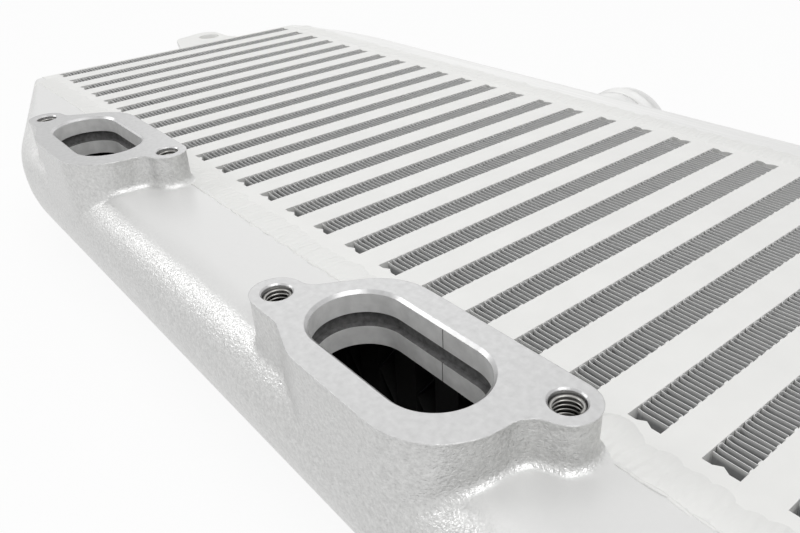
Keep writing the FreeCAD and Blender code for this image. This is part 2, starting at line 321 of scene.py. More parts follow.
def end_tree(tree, instances, material):
    """Ends a tree: its instances made real and given their material."""
    real = add(tree, "GeometryNodeRealizeInstances", [(instances.outputs[0], "Geometry")])
    paint_links = [(real.outputs[0], "Geometry"), (material, "Material")]
    painted = add(tree, "GeometryNodeSetMaterial", paint_links)
    add(tree, "NodeGroupOutput", [(painted.outputs[0], "Geometry")])


end_tree(row_tree, copies, ins["Material"])


def grown(name, node_tree, values, points=()):
    """A piece grown by a node tree from named inputs, as plain mesh."""
    mesh = bpy.data.meshes.new(name)
    mesh.from_pydata(points, [], [])
    piece = bpy.data.objects.new(name, mesh)
    bpy.context.scene.collection.objects.link(piece)
    growth = piece.modifiers.new("growth", "NODES")
    growth.node_group = node_tree
    sockets = {s.name: s.identifier for s in node_tree.interface.items_tree if s.in_out == "INPUT"}
    for label, value in values.items():
        growth[sockets[label]] = value
    return applied(piece)


# Braze metal has run in between each crest and its plate, in a small bright bump. Most of the
# length that the folds leave over is at the row's near end.
bump_half, bump_out, bump_deep = 0.8, 0.28, 1.5
bump_low = 0.12  # below the core's face
spare_before = 0.9
count = 12
bump_points = []
for height in (-bump_deep, 0.0):
    for a in range(count):
        angle = 2 * math.pi * a / count
        point = (bump_out * math.cos(angle), bump_half * math.sin(angle), height)
        bump_points.append([c * MM for c in point])
bump_faces = [tuple(reversed(range(count))), tuple(range(count, 2 * count))]
bump_faces += [(i, (i + 1) % count, count + (i + 1) % count, count + i) for i in range(count)]
bump_mesh = bpy.data.meshes.new("braze_bump")
bump_mesh.from_pydata(bump_points, [], bump_faces)
bump_unit = bpy.data.objects.new("braze_bump", bump_mesh)
bpy.context.scene.collection.objects.link(bump_unit)
bump_unit.data.materials.append(brazed)

for row, node in enumerate(sorted(n for n in cad if n.startswith("ambient_fin_"))):
    low_corner, high_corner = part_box(node)
    middle = (low_corner.x + high_corner.x) / 2
    folds = int((high_corner.y - low_corner.y) / MM / (2 * fold_gap))
    spare = (high_corner.y - low_corner.y) - folds * 2 * fold_gap * MM
    first_y = low_corner.y + spare_before * spare
    values = {
        "Unit": fold_unit,
        "Count": folds,
        "Start": (middle, first_y, 0),
        "Step": (0, 2 * fold_gap * MM, 0),
        "Shift": (0, 0.14 * MM, 0),
        "Turn": (0, 0, math.radians(2.0)),
        "Size spread": 0.0,
        "Seed": row,
        "Material": folded,
    }
    strip = grown(node.replace("ambient_fin", "folded_fin"), row_tree, values)
    finish_piece(strip, "fin_aluminium", folded, node)
    bumps = {
        "Unit": bump_unit,
        "Start": (high_corner.x, first_y + 0.5 * fold_gap * MM, core_top - bump_low * MM),
        "Shift": (0.08 * MM, 0.3 * MM, 0.05 * MM),
        "Turn": (0, 0, math.radians(8.0)),
        "Size spread": 0.25,
        "Material": brazed,
    }
    bump_row = grown(node.replace("ambient_fin", "braze_bumps"), row_tree, {**values, **bumps})
    finish_piece(bump_row, "core_aluminium", brazed)
bpy.data.objects.remove(fold_unit)
bpy.data.objects.remove(bump_unit)


# Turbulators
# Folded aluminium strips inside the channels, cut in short offset rows and brazed to both plates.
# They are seen only through the ports and the neck, so the CAD's plainer strips stay.
# They take the dark inner material: painted shade.
turbulators = cad["turbulators"]
turbulators.data.materials.clear()
turbulators.data.materials.append(inner)


# Inlet tank
# One sand casting in aluminium: a tapered D-section shell with two port flanges, gravity poured.
# Its skin keeps the sand's grain; only the flange faces, ports and bolt holes are milled.

# Sand-cast aluminium: a grey metal skin with a fine bright and dark grain from the mould's sand,
# drawn coarser than the sand, so that it shows. Edges are worn round, and catch the light.
cast, tree, shader, on_piece = metal("sand_cast_aluminium", "#C9C9C8", 0.32)
sand_grain, speck_size, edge_wear = 0.75, 1.3, 0.35
sand = add(
    tree, "ShaderNodeTexNoise", on_piece, Scale=1000 / sand_grain, Detail=2.0, Distortion=0.5
)
specks = add(
    tree, "ShaderNodeTexNoise", on_piece, Scale=1000 / speck_size, Detail=3.0, Roughness=0.7
)
# Where a face looks up it keeps little grain and mirrors little, and its colour is lifted to pale
# as painted light from above. The mask below goes from 1 on the flanks to almost 0 there.
facing = add(tree, "ShaderNodeTexCoord")
faces_up = add(tree, "ShaderNodeSeparateXYZ", [(facing.outputs["Normal"], "Vector")])
flank_share = add(tree, "ShaderNodeMapRange", [(faces_up.outputs["Z"], "Value")])
for label, value in (("From Min", 0.8), ("From Max", 0.985), ("To Min", 1.0), ("To Max", 0.05)):
    flank_share.inputs[label].default_value = value
grain_factors = [(sand.outputs["Fac"], 0), (flank_share.outputs[0], 1)]
left_grain = add(tree, "ShaderNodeMath", grain_factors, operation="MULTIPLY")
worn_edge = add(tree, "ShaderNodeBevel", Radius=edge_wear * MM)
grain_links = [(left_grain.outputs[0], "Height"), (worn_edge.outputs[0], "Normal")]
add(tree, "ShaderNodeBump", grain_links, shader.inputs["Normal"], Distance=0.3 * MM)
left_specks = add(tree, "ShaderNodeMix", [(flank_share.outputs[0], 0), (specks.outputs["Fac"], 3)])
# faces that look up take this pale tone: painted light
painted_top_light = left_specks.inputs[2]
painted_top_light.default_value = 0.95
metal_factor = [(flank_share.outputs[0], 0)]
bare_metal = add(
    tree, "ShaderNodeMath", metal_factor, shader.inputs["Metallic"], operation="MULTIPLY"
)
bare_metal.inputs[1].default_value = 0.9
shade = add(
    tree, "ShaderNodeValToRGB", [(left_specks.outputs[0], "Fac")], shader.inputs["Base Color"]
)
shade.color_ramp.elements[0].color = linear("#AAAAA9")
shade.color_ramp.elements[1].color = linear("#ECECEB")

# Milled aluminium: a flat satin face, with faint blotches where the cutter opened the casting's
# grain. The cutter's marks are drawn coarser, so that they show.
milled, tree, shader, on_piece = metal("milled_aluminium", "#BBBBBB", 0.34, Metallic=0.9)
blotch_size, cutter_mark = 2.0, 0.6
blotches = add(tree, "ShaderNodeTexNoise", on_piece, Scale=1000 / blotch_size, Detail=4.0)
shade = add(
    tree, "ShaderNodeValToRGB", [(blotches.outputs["Fac"], "Fac")], shader.inputs["Base Color"]
)
shade.color_ramp.elements[0].color = linear("#ADADAD")
shade.color_ramp.elements[1].color = linear("#C9C9C9")
marks = add(tree, "ShaderNodeTexNoise", on_piece, Scale=1000 / cutter_mark)
broken_edge = add(tree, "ShaderNodeBevel", Radius=edge_wear * MM)
mark_links = [(marks.outputs["Fac"], "Height"), (broken_edge.outputs[0], "Normal")]
add(tree, "ShaderNodeBump", mark_links, shader.inputs["Normal"], Distance=0.012 * MM)

# Bored aluminium, the port's wall: almost white, because the tool's fine rings spread the light.
# The rings are too fine to show, and what shows is their chatter, in soft blotches this large.
bored, tree, shader, on_piece = metal("bored_aluminium", "#F4F4F3", 0.6, Metallic=0.0)
chatter_size = 4.0
chatter = add(tree, "ShaderNodeTexNoise", on_piece, Scale=1000 / chatter_size, Detail=5.0)
shade = add(
    tree, "ShaderNodeValToRGB", [(chatter.outputs["Fac"], "Fac")], shader.inputs["Base Color"]
)
shade.color_ramp.elements[0].color = linear("#CDCDCC")
shade.color_ramp.elements[1].color = linear("#FFFFFE")
chatter_links = [(chatter.outputs["Fac"], "Height")]
add(tree, "ShaderNodeBump", chatter_links, shader.inputs["Normal"], Distance=0.03 * MM)

# Core-sand casting, the recess in the port's wall: rough, and coloured dark as painted shade for
# the shade in the recess. Its lumps are drawn larger than the sand, so that they show.
recess, tree, shader, on_piece = metal("sooty_core_casting", "#727271", 0.85, Metallic=0.0)
core_sand = 1.6
lumps = add(tree, "ShaderNodeTexNoise", on_piece, Scale=1000 / core_sand, Detail=4.0)
shade = add(
    tree, "ShaderNodeValToRGB", [(lumps.outputs["Fac"], "Fac")], shader.inputs["Base Color"]
)
shade.color_ramp.elements[0].color = linear("#363635")
shade.color_ramp.elements[1].color = linear("#909090")
lump_links = [(lumps.outputs["Fac"], "Height")]
add(tree, "ShaderNodeBump", lump_links, shader.inputs["Normal"], Distance=0.2 * MM)

skins = (cast, milled, bored, recess, inner)
CAST, MILLED, BORED, RECESS, INNER = range(5)

stack_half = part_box("side_plate_right")[1].x / MM
core_high = core_top / MM


def skinned(piece, skin):
    """Gives a casting or a cutter all the casting's skins, and its faces one of them."""
    for material in skins:
        piece.data.materials.append(material)
    for face in piece.data.polygons:
        face.material_index = skin
    return piece


def d_section(depth, shoulder, keel, low, high, back, steps=10):
    """Tank section as points out from the core's edge and up, clockwise from the core's top."""
    points = [(-back, high)]
    for i in range(steps + 1):
        angle = math.pi / 2 * (1 - i / steps)
        out, up = shoulder * math.cos(angle), shoulder * math.sin(angle)
        points.append((depth - shoulder + out, high - shoulder + up))
    for i in range(steps + 1):
        angle = -math.pi / 2 * i / steps
        points.append((depth - keel + keel * math.cos(angle), low + keel + keel * math.sin(angle)))
    points.append((-back, low))
    return points


def lofted(name, rings):
    """A closed solid through rings of points, capped at both ends, in metres."""
    count = len(rings[0])
    points = [point for ring in rings for point in ring]
    faces = [tuple(range(count))]
    for k in range(len(rings) - 1):
        a, b = k * count, (k + 1) * count
        faces += [(a + i, b + i, b + (i + 1) % count, a + (i + 1) % count) for i in range(count)]
    faces.append(tuple(reversed(range((len(rings) - 1) * count, len(rings) * count))))
    mesh = bpy.data.meshes.new(name)
    mesh.from_pydata([[c * MM for c in p] for p in points], [], faces)
    piece = bpy.data.objects.new(name, mesh)
    bpy.context.scene.collection.objects.link(piece)
    work = bmesh.new()
    work.from_mesh(mesh)
    bmesh.ops.recalc_face_normals(work, faces=work.faces)
    work.to_mesh(mesh)
    work.free()
    return piece


tank_end_r = 20.0  # upright corner at the square end, seen from above
least_r = 1.5
deepest_share = 0.9  # of the depth, for a rounding near the tip
taper_steps, bend_steps, run_steps, corner_steps = 8, 10, 4, 10


def tank_solid(name, side, inset, back, *, depth, tip, taper, bend_r, shoulder, keel, tip_r):
    """A tank's outside, or its hollow at an inset: depth follows the tapered wall and its bend."""
    slope = math.atan2(depth - tip, taper)
    bend_end = -stack_half + taper + bend_r * math.tan(slope / 2)
    bend_start = bend_end - bend_r * math.sin(slope)
    start, end = -stack_half + inset, stack_half - inset
    corner = tank_end_r - inset
    places = [start + (bend_start - start) * i / taper_steps for i in range(taper_steps + 1)]
    for i in range(1, bend_steps + 1):
        places.append(bend_start + (bend_end - bend_start) * i / bend_steps)
    for i in range(1, run_steps + 1):
        places.append(bend_end + (end - corner - bend_end) * i / run_steps)
    for i in range(1, corner_steps + 1):
        places.append(end - corner + corner * math.sin(math.pi / 2 * i / corner_steps))
    rings = []
    for x in places:
        if x <= bend_start:
            here = tip + (x + stack_half) * math.tan(slope) - inset / math.cos(slope)
        elif x < bend_end:
            here = depth - bend_r + math.sqrt((bend_r - inset) ** 2 - (bend_end - x) ** 2)
        else:
            here = depth - inset
            past = max(0.0, x - (end - corner))
            here -= corner - math.sqrt(max(corner**2 - past**2, 0.0))
        share = min(1.0, (here + inset - tip) / (depth - tip))
        top = max(tip_r + (shoulder - tip_r) * share - inset, least_r)
        low = max(tip_r + (keel - tip_r) * share - inset, least_r)
        top, low = min(top, here * deepest_share), min(low, here * deepest_share)
        section = d_section(here, top, low, inset, core_high - inset, back)
        rings.append([(x, side * (core_edge + out), up) for out, up in section])
    return lofted(name, rings)


def rounded_outline(corners, steps=10):
    """Points round straight sides with an arc of its own radius at each corner."""
    points = []
    count = len(corners)
    for i, (x, y, radius) in enumerate(corners):
        here = Vector((x, y))
        before = (Vector(corners[i - 1][:2]) - here).normalized()
        after = (Vector(corners[(i + 1) % count][:2]) - here).normalized()
        half = before.angle(after) / 2
        centre = here + (before + after).normalized() * (radius / math.sin(half))
        first = here + before * radius / math.tan(half) - centre
        last = here + after * radius / math.tan(half) - centre
        sweep = first.angle_signed(last)
        for k in range(steps + 1):
            turn = Matrix.Rotation(-sweep * k / steps, 2)
            points.append(tuple(centre + turn @ first))
    return points


def ring_stack(name, outline, centre, levels):
    """A solid through one outline at several heights; each level may grow it outwards."""
    rings = []
    for height, grow in levels:
        rings.append([(centre[0] + x, centre[1] + y, height) for x, y in outline(grow)])
    return lofted(name, rings)


def carve(piece, tool, how="DIFFERENCE"):
    """Boolean with a tool, which is then thrown away."""
    cut = piece.modifiers.new("cut", "BOOLEAN")
    cut.object = tool
    cut.operation = how
    cut.solver = "EXACT"
    applied(piece)
    bpy.data.objects.remove(tool)
    return piece


remesh_grid = 1.2
crisp_fade = 4.0  # height over which the rounding fades out


def fuse_cast(name, parts, smoothing, crisp_height=math.inf):
    """Joins overlapping solids and rounds their hollow corners, below a height that stays crisp."""
    for part in parts[1:]:
        work = bmesh.new()
        work.from_mesh(parts[0].data)
        work.from_mesh(part.data)
        work.to_mesh(parts[0].data)
        work.free()
        bpy.data.objects.remove(part)
    body = parts[0]
    body.name = name
    grid = body.modifiers.new("grid", "REMESH")
    grid.mode = "VOXEL"
    grid.voxel_size = remesh_grid * MM
    applied(body)
    rounding = body.vertex_groups.new(name="foundry_rounding")
    for vertex in body.data.vertices:
        share = (crisp_height - vertex.co.z / MM) / crisp_fade
        rounding.add([vertex.index], min(max(share, 0.0), 1.0), "REPLACE")
    soften = body.modifiers.new("soften", "SMOOTH")
    soften.factor = 0.5
    soften.iterations = smoothing
    soften.vertex_group = rounding.name
    return skinned(applied(body), CAST)


flange_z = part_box("inlet_tank")[1].z / MM
inlet_size = {
    "depth": 48.4,
    "tip": 6.0,
    "taper": 110.0,
    "bend_r": 112.0,
    "shoulder": 18.0,
    "keel": 45.0,
    "tip_r": 4.0,
}
cast_wall = 4.0
tank_root, hollow_root = 6.0, 20.0  # how far each solid runs back over the core, before the cut
port_middles = (-86.4, 129.6)
port_y = -core_edge - 25.1
port_length, port_width = 57.0, 26.4
cad_chamfer, port_land = 1.6, 7.8  # between the opening and the flange's long sides
ear_r = 7.8
ears = ((43.2, 14.8), (-42.3, -9.4))
ear_lean = math.radians(16.0)
flank_top, flank_r = 25.0, 20.0  # left ear's run in to the inner edge
flank_foot, flank_root_r = 39.2, 6.0
skirt_start, skirt_root_r = 29.3, 8.0  # left ear's run out to the outer edge
skirt_end, skirt_r = 14.5, 20.0
flange_side, flange_corner_r, ear_notch_r = 39.6, 21.5, 7.8


def flange_outline(grow):
    """Flange from above, from the middle of the opening: an ear at each end, at its own reach."""
    side = port_width / 2 + cad_chamfer + port_land
    right = ears[0][0] + ear_r
    lean_drop = (ears[0][0] - flange_side) * math.tan(ear_lean)
    notch_low = ears[0][1] - ear_r / math.cos(ear_lean) - lean_drop
    right_low = notch_low + (right - flange_side) * math.tan(ear_lean)
    left, left_high, left_low = ears[1][0] - ear_r, ears[1][1] + ear_r, ears[1][1] - ear_r
    end_r = ear_r - 0.01  # leaves a short straight between the left ear's two arcs
    corners = [
        (right, side, ear_r),
        (-flank_top, side, flank_r),
        (-flank_foot, left_high, flank_root_r),
        (left, left_high, end_r),
        (left, left_low, end_r),
        (-skirt_start, left_low, skirt_root_r),
        (-skirt_end, -side, skirt_r),
        (flange_side, -side, flange_corner_r),
        (flange_side, notch_low, ear_notch_r),
        (right, right_low, ear_r),
    ]
    points = rounded_outline(corners)
    grown_points = []
    for i, (x, y) in enumerate(points):
        x0, y0 = points[i - 2]
        x1, y1 = points[(i + 2) % len(points)]
        length = math.hypot(x1 - x0, y1 - y0)
        grown_points.append((x - grow * (y1 - y0) / length, y + grow * (x1 - x0) / length))
    return grown_points


def port_outline(grow, arc_steps=72):
    """Round-ended opening, grown outwards."""
    half = port_width / 2 + grow
    run = (port_length - port_width) / 2
    points = []
    for side in (1, -1):
        for i in range(arc_steps + 1):
            angle = -math.pi / 2 + math.pi * i / arc_steps
            points.append((side * (run + half * math.cos(angle)), side * half * math.sin(angle)))
    return points


# Each flange stands on a boss that starts inside the tank. Above its rim it leans in a little,
# and runs on past the face that the mill will cut.
boss_foot, crisp_rim = 40.0, 7.0
boss_levels = [
    (boss_foot, 0),
    (flange_z - 1.2, 0),
    (flange_z + 0.6, -0.5),
    (flange_z + 4.0, -0.9),
]
parts = [tank_solid("inlet_casting", -1, 0.0, tank_root, **inlet_size)]
for x in port_middles:
    parts.append(ring_stack("boss", flange_outline, (x, port_y), boss_levels))
inlet = fuse_cast("inlet_casting", parts, smoothing=4, crisp_height=flange_z - crisp_rim)


def box_solid(name, low, high):
    """Plain block from its low and high corner."""
    (left, near, bottom), (right, far, top) = low, high
    square = ((left, near), (right, near), (right, far), (left, far))
    return lofted(name, [[(x, y, z) for x, y in square] for z in (bottom, top)])


# The machining: flange faces milled flat, hollow and core side opened, then ports and bolt holes.
# Each cutter brings the skin that it leaves, and runs on past what it cuts.
past_ends, past_side = stack_half + 20.0, 200.0
far_below, far_above = -20.0, 100.0
mill = box_solid("face_mill", (-past_ends, -past_side, flange_z), (past_ends, 0.0, flange_z + 20.0))
carve(inlet, skinned(mill, MILLED))
# The hollow's walls take the dark inner material: painted shade.
carve(inlet, skinned(tank_solid("inlet_hollow", -1, cast_wall, hollow_root, **inlet_size), INNER))
core_side = box_solid("core_side", (-past_ends, -core_edge, far_below), (past_ends, 0.0, far_above))
carve(inlet, skinned(core_side, CAST))

recess_high, recess_low = flange_z - 7.1, flange_z - 11.7
wall_below, recess_out, wall_above = 0.2, 2.4, 0.6  # each band of the port's wall, outwards
port_foot, step_run = 54.0, 0.05
chamfer, past_face = 1.0, 2.0
port_levels = [
    (port_foot, wall_below),
    (recess_low, wall_below),
    (recess_low + step_run, recess_out),
    (recess_high - step_run, recess_out),
    (recess_high, wall_above),
    (flange_z - chamfer, wall_above),
    (flange_z + past_face, wall_above + chamfer + past_face),
]
below_chamfer = flange_z - 1.1
for x in port_middles:
    cutter = skinned(ring_stack("port_cutter", port_outline, (x, port_y), port_levels), MILLED)
    # the recess band gets the dark core-casting skin: painted shade
    for face in cutter.data.polygons:
        if recess_low * MM < face.center.z < recess_high * MM:
            face.material_index = RECESS
        elif face.center.z < below_chamfer * MM:
            face.material_index = BORED
    carve(inlet, cutter)

insert_r, hole_depth, drill_steps = 4.4, 15.0, 32
hole_r = insert_r + 0.05
hole_chamfer = 0.5


def drill(grow):
    """Round hole for a wire insert, grown outwards."""
    angles = [2 * math.pi * i / drill_steps for i in range(drill_steps)]
    r = hole_r + grow
    return [(r * math.cos(angle), r * math.sin(angle)) for angle in angles]


hole_levels = [
    (flange_z - hole_depth, 0.0),
    (flange_z - hole_chamfer, 0.0),
    (flange_z + hole_chamfer, 2 * hole_chamfer),
]
for x in port_middles:
    for dx, dy in ears:
        tool = ring_stack("drill", drill, (x + dx, port_y + dy), hole_levels)
        carve(inlet, skinned(tool, MILLED))

# The core box was split across the near port, and left a hairline down its wall.
split_x = port_middles[1] + 2.4
split_y = port_y + port_width / 2
split_half, split_in, split_out, split_foot = 0.14, 1.0, 0.85, 58.0
split = box_solid(
    "core_box_split",
    (split_x - split_half, split_y - split_in, split_foot),
    (split_x + split_half, split_y + split_out, below_chamfer),
)
# The hairline takes the dark recess skin: painted shade.
carve(inlet, skinned(split, RECESS))
for polygon in inlet.data.polygons:
    polygon.use_smooth = polygon.material_index == CAST
finish_piece(inlet, "cast_aluminium", None, "inlet_tank")


# Outlet tank
# The matching sand casting at the far side, shallower, with a round hose neck in its outer wall.
# The neck's end is turned, with a rolled bead that holds the hose.
outlet_size = {
    "depth": 29.0,
    "tip": 5.0,
    "taper": 64.0,
    "bend_r": 112.0,
    "shoulder": 14.0,
    "keel": 14.0,
    "tip_r": 4.0,
}
neck_x, neck_r, neck_z = 10.0, 27.0, core_high / 2
neck_length, neck_wall, neck_steps = 23.0, 3.0, 64
neck_mouth = core_edge + outlet_size["depth"] + neck_length
bead_rise, mouth_edge = 1.2, 0.6
crease_angle = 40

# Brushed cast aluminium: this tank was brushed along its length, with faint long streaks, and its
# colour is paler than the inlet's skin as painted light. The streaks are drawn wider than the
# brush's, so that they show.
brushed_painted_light_skin, tree, shader, on_piece = metal(
    "brushed_cast_aluminium", "#E4E4E3", 0.45, Metallic=0.5
)
streak_length, streak_width = 60.0, 1.5
stretch = add(tree, "ShaderNodeMapping", on_piece)
streak_scale = (1000 / streak_length, 1000 / streak_width, 1000 / streak_width)
stretch.inputs["Scale"].default_value = streak_scale
along_tank = [(stretch.outputs["Vector"], "Vector")]
streaks = add(tree, "ShaderNodeTexNoise", along_tank, Scale=1.0, Detail=3.0)
shade = add(
    tree, "ShaderNodeValToRGB", [(streaks.outputs["Fac"], "Fac")], shader.inputs["Base Color"]
)
shade.color_ramp.elements[0].color = linear("#DADAD9")
shade.color_ramp.elements[1].color = linear("#EEEEED")
streak_links = [(streaks.outputs["Fac"], "Height")]
add(tree, "ShaderNodeBump", streak_links, shader.inputs["Normal"], Distance=0.05 * MM)


def round_bar(name, radius_steps):
    """Turned solid about the neck's axis: (distance along Y, radius) pairs."""
    rings = []
    for y, radius in radius_steps:
        ring = []
        for i in range(neck_steps):
            angle = 2 * math.pi * i / neck_steps
            ring.append((neck_x + radius * math.cos(angle), y, neck_z + radius * math.sin(angle)))
        rings.append(ring)
    return lofted(name, rings)


# The neck's foot is fused and rounded with the tank, and its crisp end is joined on afterwards.
neck_foot = [(core_edge + 14.0, neck_r), (neck_mouth - 12.0, neck_r)]
parts = [
    tank_solid("outlet_casting", 1, 0.0, tank_root, **outlet_size),
    round_bar("neck", neck_foot),
]
outlet = fuse_cast("outlet_casting", parts, smoothing=6)
neck_end = [
    (neck_mouth - 13.0, neck_r),
    (neck_mouth - 10.0, neck_r),
    (neck_mouth - 8.3, neck_r + bead_rise),
    (neck_mouth - 6.7, neck_r + bead_rise),
    (neck_mouth - 5.0, neck_r),
    (neck_mouth - mouth_edge, neck_r),
    (neck_mouth, neck_r - mouth_edge),
]
carve(outlet, skinned(round_bar("neck_end", neck_end), CAST), "UNION")
# The hollow's walls take the dark inner material: painted shade.
carve(outlet, skinned(tank_solid("outlet_hollow", 1, cast_wall, hollow_root, **outlet_size), INNER))
neck_bore = [(core_edge + 15.0, neck_r - neck_wall), (neck_mouth + 5.0, neck_r - neck_wall)]
carve(outlet, skinned(round_bar("neck_bore", neck_bore), MILLED))
core_side = box_solid("core_side", (-past_ends, 0.0, far_below), (past_ends, core_edge, far_above))
carve(outlet, skinned(core_side, CAST))
for polygon in outlet.data.polygons:
    polygon.use_smooth = True
outlet.data.set_sharp_from_angle(angle=math.radians(crease_angle))
# the far tank's cast skin is the paler copy: painted light
outlet.data.materials[CAST] = brushed_painted_light_skin
finish_piece(outlet, "cast_aluminium", None, "outlet_tank")


# Weld beads
# Filler melted along both joints of core and tank, one puddle after another by hand.
# Each puddle froze a little over the last one, so the bead is a row of low crescents.

# Frozen aluminium filler: pale and soft-edged, with fine ripples across the bead, one for each
# beat of the welder's hand.
weld, tree, shader, on_piece = metal("frozen_weld_filler", "#E7E7E5", 0.5, Metallic=0.25)
ripple_pitch = 2.6
ripple_scale = wave_of_scale_1 / ripple_pitch
ripple = add(tree, "ShaderNodeTexWave", on_piece, Scale=ripple_scale, Distortion=5.0, Detail=2.0)
ripple.bands_direction = "X"
ripple_links = [(ripple.outputs["Fac"], "Height")]
add(tree, "ShaderNodeBump", ripple_links, shader.inputs["Normal"], Distance=0.13 * MM)

puddle_size = (7.0, 9.0, 1.9)  # half lengths, as a ball is stretched to them
puddle_sunk = 1.5
puddle_pitch = 4.4
bead_y = core_edge + 0.3
bead_z = core_high - puddle_sunk
bead_ends = 20.0  # length that both ends of the stack leave without a bead


def puddle_mesh(name, size, lean_deg):
    """A flat lens of frozen metal, lifted at one end over the puddle before it."""
    work = bmesh.new()
    bmesh.ops.create_uvsphere(work, u_segments=20, v_segments=10, radius=1.0)
    stretch = Matrix.Diagonal((*[c * MM for c in size], 1.0))
    lean = Matrix.Rotation(math.radians(lean_deg), 4, "Y")
    bmesh.ops.transform(work, matrix=lean @ stretch, verts=work.verts)
    mesh = bpy.data.meshes.new(name)
    work.to_mesh(mesh)
    work.free()
    for face in mesh.polygons:
        face.use_smooth = True
    piece = bpy.data.objects.new(name, mesh)
    bpy.context.scene.collection.objects.link(piece)
    return piece


puddle = puddle_mesh("puddle", puddle_size, 3.5)
puddles = int((2 * stack_half - bead_ends) / puddle_pitch)
first_puddle = -(puddles - 1) * puddle_pitch / 2
for name, side in (("inlet_weld_bead", -1), ("outlet_weld_bead", 1)):
    values = {
        "Unit": puddle,
        "Count": puddles,
        "Start": (first_puddle * MM, side * bead_y * MM, bead_z * MM),
        "Step": (puddle_pitch * MM, 0, 0),
        "Shift": (0.5 * MM, 0.25 * MM, 0.05 * MM),
        "Turn": (math.radians(1.5), math.radians(1.5), math.radians(12.0)),
        "Size spread": 0.05,
        "Seed": 40 + side,
        "Material": weld,
    }
    finish_piece(grown(name, row_tree, values), "cast_aluminium", weld)

# Beside the right ear of each port the torch had less room, and left fatter dabs.
dab_run, dab_in, dab_sunk = 47.5, 1.2, 1.7
dab = puddle_mesh("dab", (8.5, 8.5, 2.6), 4.0)
for name, x, count in zip(("left_port_dabs", "right_port_dabs"), port_middles, (1, 4)):
    values = {
        "Unit": dab,
        "Count": count,
        "Start": ((x + dab_run) * MM, -(core_edge - dab_in) * MM, (core_high - dab_sunk) * MM),
        "Step": (4.6 * MM, 0, -0.12 * MM),
        "Shift": (0.6 * MM, 0.5 * MM, 0.1 * MM),
        "Turn": (math.radians(3.0), math.radians(3.0), math.radians(20.0)),
        "Size spread": 0.08,
        "Seed": 7,
        "Material": weld,
    }
    finish_piece(grown(name, row_tree, values), "cast_aluminium", weld)
bpy.data.objects.remove(puddle)
bpy.data.objects.remove(dab)

# The bead's edge froze to the tank in a broken, thin bright line.
toe = puddle_mesh("toe", (3.0, 0.5, 0.35), 0.0)
toe_pitch = 5.2
toe_place = -(core_edge + 5.6)
toe_spot = inlet.ray_cast((0.0, toe_place * MM, far_above * MM), (0, 0, -1))[1]
toes = int((2 * stack_half - bead_ends) / toe_pitch)
values = {
    "Unit": toe,
    "Count": toes,
    "Start": (-(toes - 1) * toe_pitch / 2 * MM, toe_place * MM, toe_spot.z),
    "Step": (toe_pitch * MM, 0, 0),
    "Shift": (1.2 * MM, 0.35 * MM, 0.1 * MM),
    "Turn": (math.radians(10.0), math.radians(2.0), math.radians(7.0)),
    "Size spread": 0.3,
    "Seed": 5,
    "Material": weld,
}
finish_piece(grown("weld_toe_line", row_tree, values), "cast_aluminium", weld)
bpy.data.objects.remove(toe)


# Thread inserts
# A stainless wire of diamond section, wound to a coil and screwed into each tapped hole.
# Its turns touch the hole's wall and stand proud inside, so they make a hard-wearing M8 thread.

# Drawn stainless wire: a darker, warmer and sharper shine than the aluminium round it. The die's
# marks are drawn coarser, so that they show.
wire, tree, shader, on_piece = metal("drawn_stainless_wire", "#9E9D9A", 0.3)
draw_mark = 0.4
drawn = add(tree, "ShaderNodeTexNoise", on_piece, Scale=1000 / draw_mark)
drawn_links = [(drawn.outputs["Fac"], "Height")]
add(tree, "ShaderNodeBump", drawn_links, shader.inputs["Normal"], Distance=0.01 * MM)

thread_pitch = 1.25
wire_half = 0.58
insert_top = 1.3  # below the flange face
insert_low, insert_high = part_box("thread_inserts")
insert_turns = int((insert_high.z - insert_low.z) / MM / thread_pitch) - 1

coil_tree = bpy.data.node_groups.new("coiled_wire", "GeometryNodeTree")
coil_tree.interface.new_socket("Geometry", in_out="OUTPUT", socket_type="NodeSocketGeometry")
coil_inputs = {
    "Holes": "NodeSocketGeometry",
    "Turns": "NodeSocketFloat",
    "Height": "NodeSocketFloat",
    "Coil radius": "NodeSocketFloat",
    "Wire radius": "NodeSocketFloat",
    "Material": "NodeSocketMaterial",
}
for label, kind in coil_inputs.items():
    coil_tree.interface.new_socket(label, in_out="INPUT", socket_type=kind)
ins = add(coil_tree, "NodeGroupInput").outputs
spiral_links = [
    (ins["Turns"], "Rotations"),
    (ins["Height"], "Height"),
    (ins["Coil radius"], "Start Radius"),
    (ins["Coil radius"], "End Radius"),
]
spiral = add(coil_tree, "GeometryNodeCurveSpiral", spiral_links, Resolution=28)
# A circle of four points is the wire's diamond.
section_links = [(ins["Wire radius"], "Radius")]
section = add(coil_tree, "GeometryNodeCurvePrimitiveCircle", section_links, Resolution=4)
sweep_links = [(spiral.outputs[0], "Curve"), (section.outputs[0], "Profile Curve")]
swept = add(coil_tree, "GeometryNodeCurveToMesh", sweep_links)
swept.inputs["Fill Caps"].default_value = True
hole_links = [(ins["Holes"], "Points"), (swept.outputs[0], "Instance")]
coils = add(coil_tree, "GeometryNodeInstanceOnPoints", hole_links)
end_tree(coil_tree, coils, ins["Material"])

coil_high = insert_turns * thread_pitch
coil_foot = flange_z - insert_top - coil_high
holes = []
for x in port_middles:
    for dx, dy in ears:
        holes.append(((x + dx) * MM, (port_y + dy) * MM, coil_foot * MM))
values = {
    "Turns": float(insert_turns),
    "Height": coil_high * MM,
    "Coil radius": (insert_r - wire_half) * MM,
    "Wire radius": wire_half * MM,
    "Material": wire,
}
wires = grown("wire_inserts", coil_tree, values, holes)
finish_piece(wires, "insert_steel", wire, "thread_inserts")


